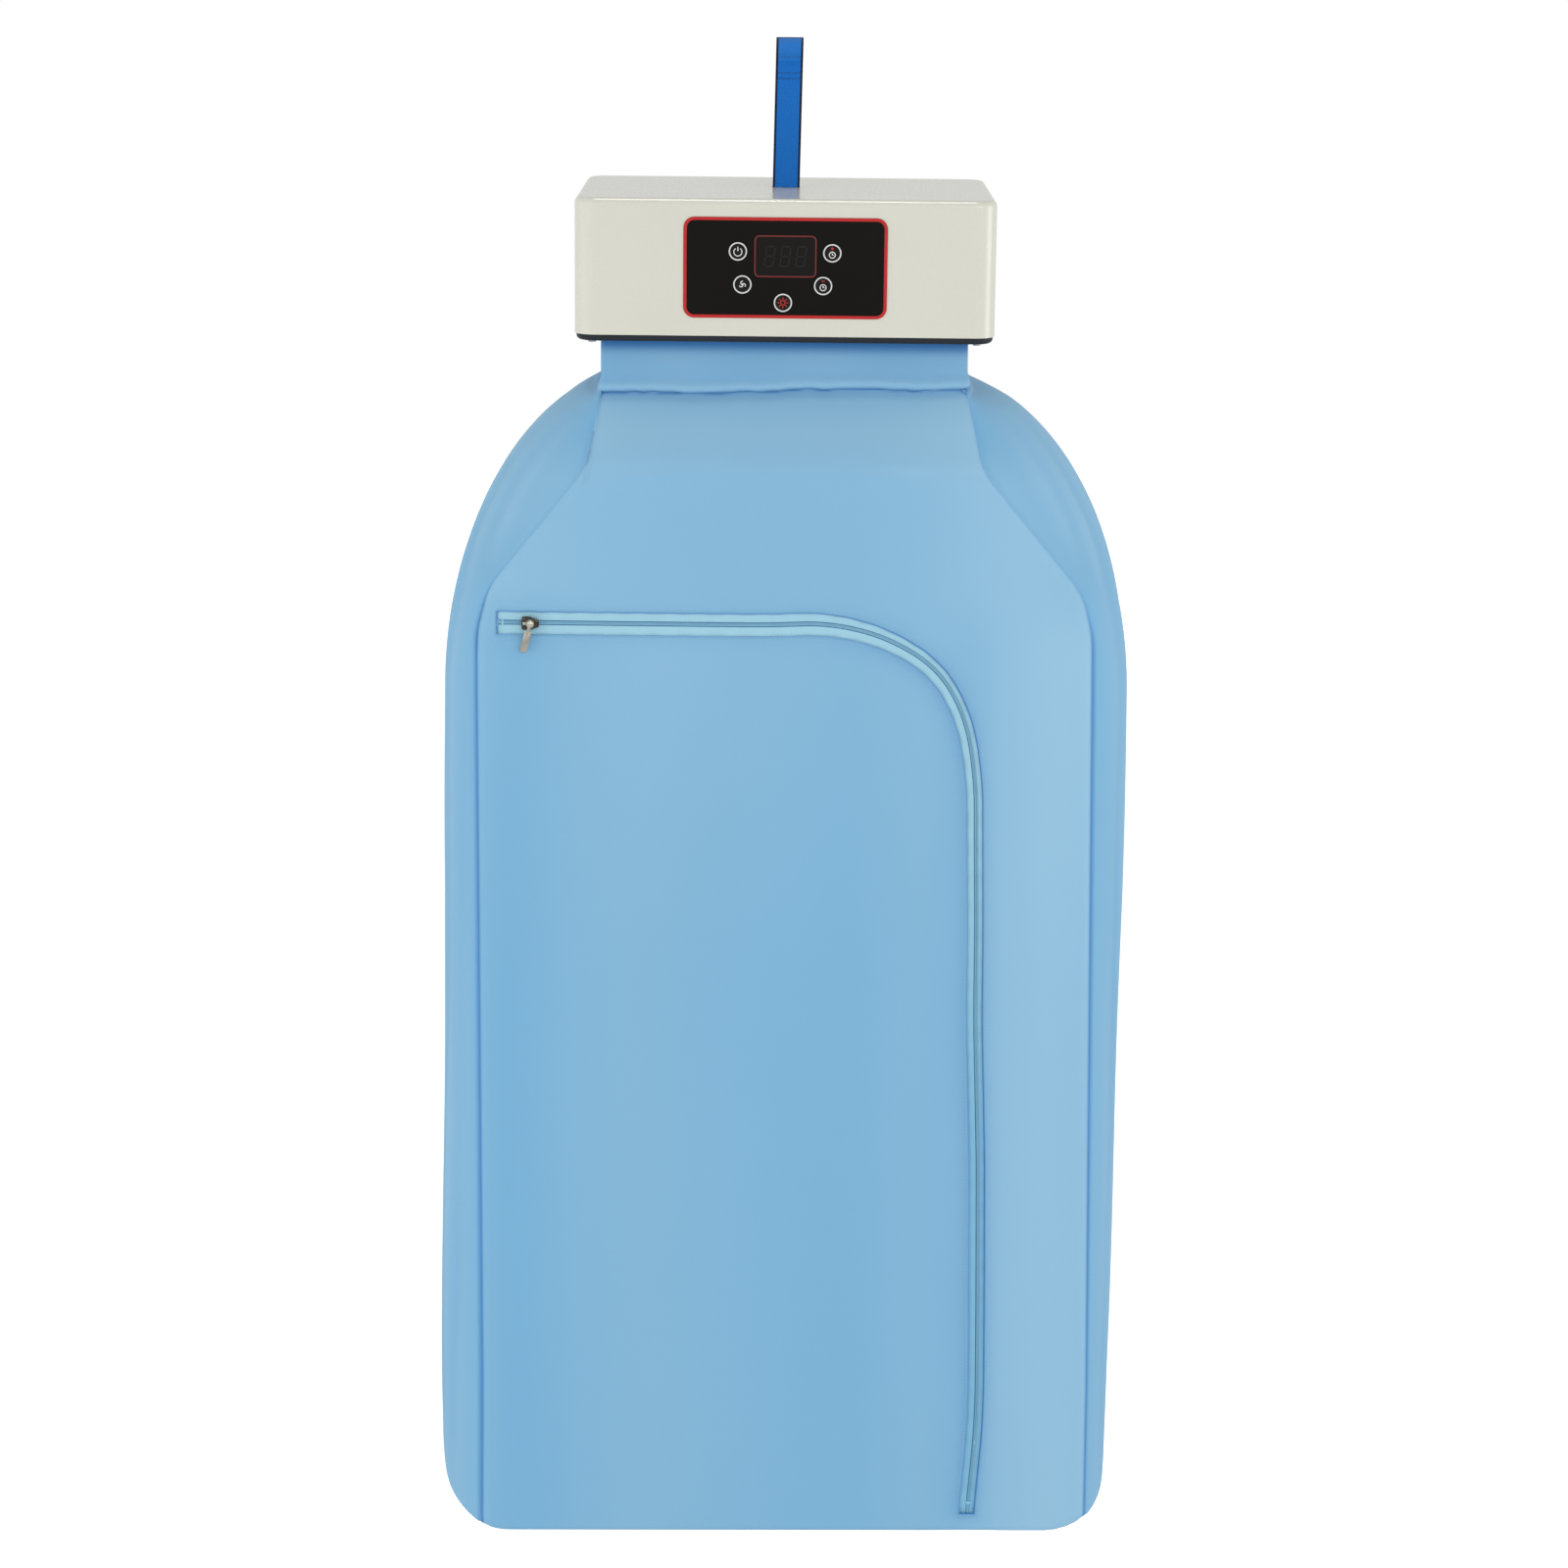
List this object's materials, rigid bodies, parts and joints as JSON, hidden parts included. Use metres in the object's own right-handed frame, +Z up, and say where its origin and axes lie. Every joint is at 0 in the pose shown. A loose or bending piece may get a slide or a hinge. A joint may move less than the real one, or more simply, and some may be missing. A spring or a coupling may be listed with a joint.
{
  "type": "portable clothes dryer",
  "caption": "Hanging clothes dryer: a boxy fan heater head on a strap, with a control panel, over a hanger rack in a zipped fabric drying bag.",
  "frame": {"origin": "centre of the sewn eye at the top of the hanging strap, where a hook holds the dryer", "axes": "+Z up, -Y to the front with the control panel, +X to the viewer's right"},
  "size_m": [0.5408, 0.236, 1.1588],
  "materials": {
    "cover_plastic": "glossy off-white moulding",
    "base_plastic": "satin near-black moulding",
    "fascia_black": "glossy black",
    "border_red": "glossy red",
    "smoked_lens": "smoked clear plastic",
    "key_black": "glossy black with a printed ring",
    "webbing": "woven blue webbing",
    "bag_fabric": "coated light-blue fabric with a soft sheen",
    "zip_tape": "pale blue woven tape",
    "zip_teeth": "blue-grey moulded teeth",
    "bright_metal": "bright nickel plating",
    "steel": "zinc-plated steel",
    "rack_coating": "white powder coating",
    "inner_plastic": "black moulding",
    "heater_frame": "heat-resistant moulding",
    "heater_fins": "bare aluminium",
    "board_green": "green circuit board",
    "display_red": "dark red display block",
    "lamp_glass": "clear quartz tube"
  },
  "bodies": {
    "head_and_bag": {"top_cover": "cover_plastic", "base_plate": "base_plastic", "cover_screws": "steel", "cord_inlet": "inner_plastic", "outlet_grille": "steel", "strap_tail": "webbing", "strap_anchor_pin": "steel", "panel_border": "border_red", "control_panel": "fascia_black", "display_lens": "smoked_lens", "control_board": "board_green", "key_switches": "inner_plastic", "display_module": "display_red", "board_screws": "steel", "fan_shroud": "inner_plastic", "fan_motor": "steel", "motor_screws": "steel", "heater_frame": "heater_frame", "heater_core": "heater_fins", "thermal_cutout": "steel", "uv_lamp": "lamp_glass", "uv_lamp_clips": "inner_plastic", "front_rack_bracket": "rack_coating", "rear_rack_bracket": "rack_coating", "rack_screws": "steel", "hanger_rail": "rack_coating", "arm_pins": "steel", "neck_sleeve": "bag_fabric", "front_panel": "bag_fabric", "back_panel": "bag_fabric", "left_gusset": "bag_fabric", "right_gusset": "bag_fabric", "bottom_panel": "bag_fabric", "vent_eyelets": "bright_metal", "zip_tape_outer": "zip_tape", "zip_teeth_outer": "zip_teeth", "zip_stops": "bright_metal"},
    "fan": {"fan_impeller": "inner_plastic", "motor_shaft": "steel"},
    "strap": {"hang_strap": "webbing"},
    "power_key": {"power_button": "key_black"},
    "speed_key": {"speed_button": "key_black"},
    "time_up_key": {"time_up_button": "key_black"},
    "time_down_key": {"time_down_button": "key_black"},
    "lamp_key": {"lamp_button": "key_black"},
    "left_shoulder": {"left_arm": "rack_coating"},
    "right_shoulder": {"right_arm": "rack_coating"},
    "door": {"door_flap": "bag_fabric", "zip_tape_inner": "zip_tape", "zip_teeth_inner": "zip_teeth"},
    "slider": {"zip_slider": "bright_metal"},
    "pull": {"zip_pull": "bright_metal"}
  },
  "joints": [
    {"name": "fan_spin", "type": "hinge", "parent": "head_and_bag", "child": "fan", "pos_m": [0, 0, -0.1566], "axis": [0, 0, 1], "continuous": true},
    {"name": "strap_fold", "type": "hinge", "parent": "head_and_bag", "child": "strap", "pos_m": [0, 0, -0.1031], "axis": [1, 0, 0], "range_deg": [-80, 80]},
    {"name": "power_press", "type": "slide", "parent": "head_and_bag", "child": "power_key", "axis": [0, 1, 0], "range_m": [0, 0.0006], "stiffness_N_per_m": 1500, "springref_m": -0.0003},
    {"name": "speed_press", "type": "slide", "parent": "head_and_bag", "child": "speed_key", "axis": [0, 1, 0], "range_m": [0, 0.0006], "stiffness_N_per_m": 1500, "springref_m": -0.0003},
    {"name": "time_up_press", "type": "slide", "parent": "head_and_bag", "child": "time_up_key", "axis": [0, 1, 0], "range_m": [0, 0.0006], "stiffness_N_per_m": 1500, "springref_m": -0.0003},
    {"name": "time_down_press", "type": "slide", "parent": "head_and_bag", "child": "time_down_key", "axis": [0, 1, 0], "range_m": [0, 0.0006], "stiffness_N_per_m": 1500, "springref_m": -0.0003},
    {"name": "lamp_press", "type": "slide", "parent": "head_and_bag", "child": "lamp_key", "axis": [0, 1, 0], "range_m": [0, 0.0006], "stiffness_N_per_m": 1500, "springref_m": -0.0003},
    {"name": "left_arm_fold", "type": "hinge", "parent": "head_and_bag", "child": "left_shoulder", "pos_m": [-0.118, 0, -0.2546], "axis": [0, -1, 0], "range_deg": [0, 60]},
    {"name": "right_arm_fold", "type": "hinge", "parent": "head_and_bag", "child": "right_shoulder", "pos_m": [0.118, 0, -0.2546], "axis": [0, 1, 0], "range_deg": [0, 60]},
    {"name": "door_open", "type": "hinge", "parent": "head_and_bag", "child": "door", "pos_m": [-0.21278, -0.115, -0.42049], "axis": [0.4552, 0, -0.8904], "range_deg": [0, 120]},
    {"name": "zip_slide", "type": "slide", "parent": "door", "child": "slider", "axis": [1, 0, 0], "range_m": [0, 0.195]},
    {"name": "pull_swing", "type": "hinge", "parent": "slider", "child": "pull", "pos_m": [-0.188, -0.119, -0.4206], "axis": [0, -1, 0], "range_deg": [-25, 90]}
  ]
}
